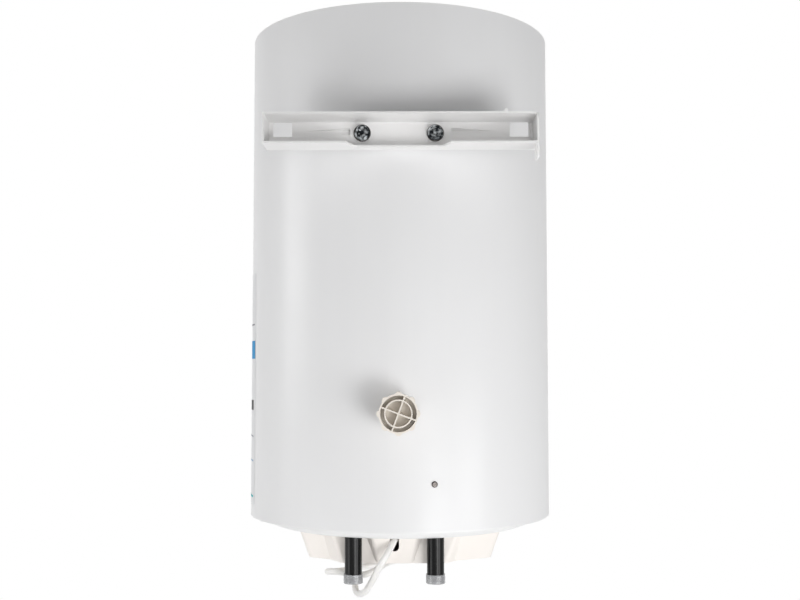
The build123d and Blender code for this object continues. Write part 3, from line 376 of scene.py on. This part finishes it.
# Colour and roughness of each paint, plastic, metal and sheath, and how dark a metal's spots are
COOL_SPOTS = (0.7, 0.78, 0.85)
DEEP_SPOTS = (0.2, 0.2, 0.2)
PAINTS = {
    "casing_paint": ((0.815, 0.815, 0.82), 0.42),
    # The bracket's paint is a little paler than the casing's: painted light, standing in for the light
    # that reaches its tray
    "bracket_paint": ((0.87, 0.865, 0.86), 0.40),
}
PLASTICS = {
    "cap_plastic": ((0.83, 0.83, 0.83), 0.34),
    "cover_plastic": ((0.92, 0.875, 0.83), 0.42),
    "spacer_plastic": ((0.83, 0.775, 0.70), 0.42),
    "knob_plastic": ((0.72, 0.68, 0.62), 0.45),
    "nylon": ((0.68, 0.66, 0.60), 0.45),
    "tie_white": ((0.76, 0.76, 0.75), 0.45),
    "dark_plastic": ((0.03, 0.03, 0.035), 0.45),
}
METALS = {
    "zinc": ((0.42, 0.44, 0.45), 0.27, COOL_SPOTS),
    "dull_screw": ((0.11, 0.10, 0.095), 0.30, DEEP_SPOTS),
    "bare_steel": ((0.45, 0.45, 0.46), 0.38, COOL_SPOTS),
    "copper": ((0.72, 0.38, 0.24), 0.33, COOL_SPOTS),
    "anode_metal": ((0.5, 0.5, 0.5), 0.55, COOL_SPOTS),
}
SHEATHS = {
    "cord_white": ((0.87, 0.86, 0.84), 0.42),
    "wire_brown": ((0.16, 0.06, 0.025), 0.42),
    "wire_blue": ((0.03, 0.12, 0.42), 0.42),
}
OTHERS = {
    "dark_chrome": dark_chrome,
    "tank_enamel": tank_enamel,
    "foam": rigid_foam,
    "gasket_rubber": gasket_rubber,
    "black_metal": black_metal,
    "clear_cap": clear_cap,
    "red_plastic": red_plastic,
}


def make_materials():
    """Each material by its name: the record's slots, and the looks that single nodes have instead."""
    made = {}
    for make, looks in ((gloss_paint, PAINTS), (moulded_plastic, PLASTICS), (plated_metal, METALS),
                        (sheath, SHEATHS)):
        for name, look in looks.items():
            made[name] = make(name, *look)
    for name, make in OTHERS.items():
        made[name] = make(name)
    return made


# Nodes that look different from the rest of their material slot
OWN_LOOKS = {"bracket_bolts": "dark_chrome", "bracket_washers": "dull_screw", "casing_screw": "dull_screw"}


def dress_nodes():
    look_of = {part["node"]: part["material_slot"] for part in frame["record"]["subparts"]}
    look_of.update(OWN_LOOKS)
    for name, piece in nodes.items():
        piece.data.materials.clear()
        piece.data.materials.append(materials[look_of[name]])


# Label: a thin film on the side with blank bars and blocks, each between two angles from the wall
# direction, in degrees, and two heights
Region = namedtuple("Region", "first last low high")
LABEL_LAYER = 0.15
LABEL_FILM = Region(70.0, 150.0, 14.0, 300.0)
LABEL_BLOCKS = {
    "label_blue_block": ((0.0, 0.23, 0.50), Region(70.6, 104.0, 193.8, 216.2)),
    "label_black_bar": ((0.02, 0.02, 0.02), Region(72.8, 96.0, 130.0, 142.2)),
    "label_tick_high": ((0.25, 0.25, 0.27), Region(71.6, 98.0, 235.4, 237.4)),
    "label_line_upper": ((0.25, 0.27, 0.3), Region(72.8, 118.0, 96.8, 98.6)),
    "label_line_lower": ((0.20, 0.35, 0.5), Region(72.8, 118.0, 66.6, 68.4)),
    "label_teal_line": ((0.0, 0.40, 0.42), Region(72.8, 130.0, 22.4, 25.0)),
}
DEGREES_PER_FACE = 2.0
LEAST_FACES = 4


def wrapped_patch(name, region, lift):
    """A thin patch that follows the casing within a region."""
    turn = region.last - region.first
    steps = max(LEAST_FACES, round(turn / DEGREES_PER_FACE))
    radius = casing_radius + lift
    mesh = bmesh.new()
    for z in (region.low, region.high):
        for number in range(steps + 1):
            angle = radians(region.first + turn * number / steps)
            mesh.verts.new(about_axis(radius * sin(angle), radius * cos(angle), z))
    mesh.verts.ensure_lookup_table()
    for number in range(steps):
        corners = (number, number + 1, number + steps + 2, number + steps + 1)
        mesh.faces.new([mesh.verts[corner] for corner in corners])
    data = bpy.data.meshes.new(name)
    mesh.to_mesh(data)
    mesh.free()
    data.shade_smooth()
    return link(name, data)


def lay_on_casing(name, region, lift, material):
    """A patch of the label, which moves with the heater."""
    piece = wrapped_patch(name, region, lift)
    piece.data.materials.append(material)
    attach(piece, "heater")


def make_label():
    lay_on_casing("label_film", LABEL_FILM, LABEL_LAYER, printed_film("label_film"))
    for name, (colour, region) in LABEL_BLOCKS.items():
        lay_on_casing(name, region, 2 * LABEL_LAYER, ink(name, colour))


# Studio: the world and the floor show white, and light the object less than they show
WHITE = (1, 1, 1, 1)
SKY_STRENGTH = 0.2
FLOOR_DROP = 1100.0
FLOOR_HALF_SIDE = 3000.0
FLOOR_COLOUR = (0.9, 0.9, 0.9)
FLOOR_ROUGHNESS = 0.6
FLOOR_WHITENING = 0.8


def seen_directly(tree):
    """One for camera, mirror and see-through rays, zero for the rest."""
    path = tree.nodes.new("ShaderNodeLightPath")
    seen = path.outputs["Is Camera Ray"]
    for name in ("Is Glossy Ray", "Is Transmission Ray"):
        either = tree.nodes.new("ShaderNodeMath")
        either.operation = "MAXIMUM"
        tree.links.new(seen, either.inputs[0])
        tree.links.new(path.outputs[name], either.inputs[1])
        seen = either.outputs[0]
    return seen


def make_world():
    world = bpy.data.worlds.new("studio")
    bpy.context.scene.world = world
    world.use_nodes = True
    tree = world.node_tree
    sky = tree.nodes["Background"]
    sky.inputs["Color"].default_value = WHITE
    sky.inputs["Strength"].default_value = SKY_STRENGTH
    shown = tree.nodes.new("ShaderNodeBackground")
    shown.inputs["Color"].default_value = WHITE
    mix = tree.nodes.new("ShaderNodeMixShader")
    tree.links.new(seen_directly(tree), mix.inputs[0])
    tree.links.new(sky.outputs[0], mix.inputs[1])
    tree.links.new(shown.outputs[0], mix.inputs[2])
    tree.links.new(mix.outputs[0], tree.nodes["World Output"].inputs["Surface"])


def white_floor(name):
    """A pale floor that takes shadows, and glows where it is seen directly."""
    floor_look = Surface(name, FLOOR_COLOUR, FLOOR_ROUGHNESS)
    tree = floor_look.tree
    glow = tree.nodes.new("ShaderNodeEmission")
    scaled = tree.nodes.new("ShaderNodeMath")
    scaled.operation = "MULTIPLY"
    scaled.inputs[1].default_value = FLOOR_WHITENING
    tree.links.new(seen_directly(tree), scaled.inputs[0])
    tree.links.new(scaled.outputs[0], glow.inputs["Strength"])
    both = tree.nodes.new("ShaderNodeAddShader")
    tree.links.new(floor_look.shader.outputs[0], both.inputs[0])
    tree.links.new(glow.outputs[0], both.inputs[1])
    tree.links.new(both.outputs[0], tree.nodes["Material Output"].inputs["Surface"])
    return floor_look.material


def make_floor():
    mesh = bmesh.new()
    bmesh.ops.create_grid(mesh, x_segments=1, y_segments=1, size=FLOOR_HALF_SIDE * MM)
    data = bpy.data.meshes.new("floor")
    mesh.to_mesh(data)
    mesh.free()
    data.materials.append(white_floor("floor"))
    floor = link("floor", data)
    floor.location.z = cad_box[0].z - FLOOR_DROP * MM


# Lamps: place and target from the axis and the lower rim, width and height, strength in watts
Lamp = namedtuple("Lamp", "place target size power")
LAMPS = {
    "key_low_right": Lamp((-637, 1357, -316), (0, 0, 250), (520, 520), 6.9),
    "side_low_right": Lamp((-1178, 989, -191), (0, 0, 250), (600, 600), 6.2),
    "low_left": Lamp((1200, 693, -550), (0, 0, 150), (700, 700), 5.4),
    "side_left": Lamp((1560, 275, 473), (0, 0, 250), (600, 600), 5.2),
    "strip_left": Lamp((1441, 151, 301), (0, 0, 300), (300, 1200), 1.8),
    "front": Lamp((-393, 1848, 51), (0, 0, 250), (1400, 800), 5.6),
    "behind_high": Lamp((0, -700, 2000), (0, 0, 250), (1200, 1200), 14.0),
    "behind": Lamp((0, -1700, 550), (0, 0, 250), (700, 700), 9.0),
}


def make_lights():
    for name, lamp in LAMPS.items():
        data = bpy.data.lights.new(name, "AREA")
        data.shape = "RECTANGLE"
        width, height = lamp.size
        data.size = width * MM
        data.size_y = height * MM
        data.energy = lamp.power
        piece = link(name, data)
        piece.location = about_axis(*lamp.place)
        aim(piece, about_axis(*lamp.target))


bpy.context.scene.view_settings.view_transform = "Standard"
make_camera()
materials = make_materials()
dress_nodes()
make_cord()
make_label()
make_world()
make_floor()
make_lights()
